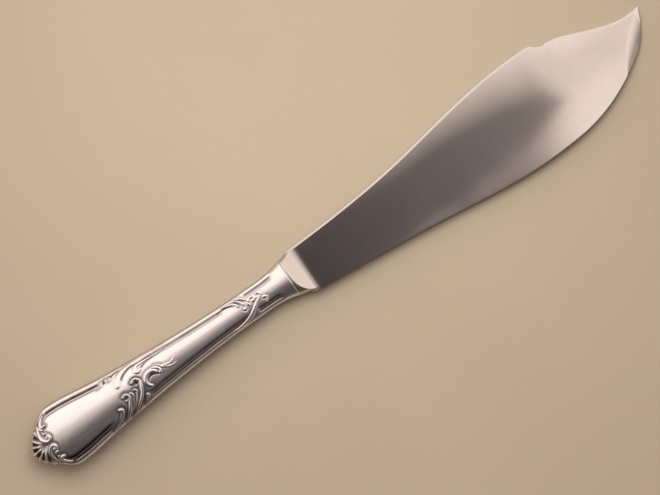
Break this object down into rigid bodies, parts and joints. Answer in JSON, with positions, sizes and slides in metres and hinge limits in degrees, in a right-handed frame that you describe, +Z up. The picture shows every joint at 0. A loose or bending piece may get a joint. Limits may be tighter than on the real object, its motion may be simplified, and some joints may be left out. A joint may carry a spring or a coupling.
{
  "type": "cake knife",
  "caption": "Cake knife: broad blade with a notched back and upswept tip, forged bolster, and a hollow silver handle struck with shell, thread and scroll relief.",
  "frame": {"origin": "middle of the whole knife, on the handle's seam plane", "axes": "+X from the butt to the tip, +Y towards the back of the blade, +Z up from the blade's flat"},
  "size_m": [0.2799, 0.0397, 0.0144],
  "materials": {
    "blade_steel": "satin, ground across the blade",
    "handle_silver": "soft polish, with dark tarnish in the recesses",
    "solder": "filed flush",
    "cap_silver": "as cut",
    "cement": "cast resin and chalk"
  },
  "bodies": {
    "root": {"blade": "blade_steel", "handle_front_shell": "handle_silver", "handle_back_shell": "handle_silver", "seam_solder": "solder", "mouth_cap": "cap_silver", "handle_cement": "cement"}
  },
  "joints": []
}
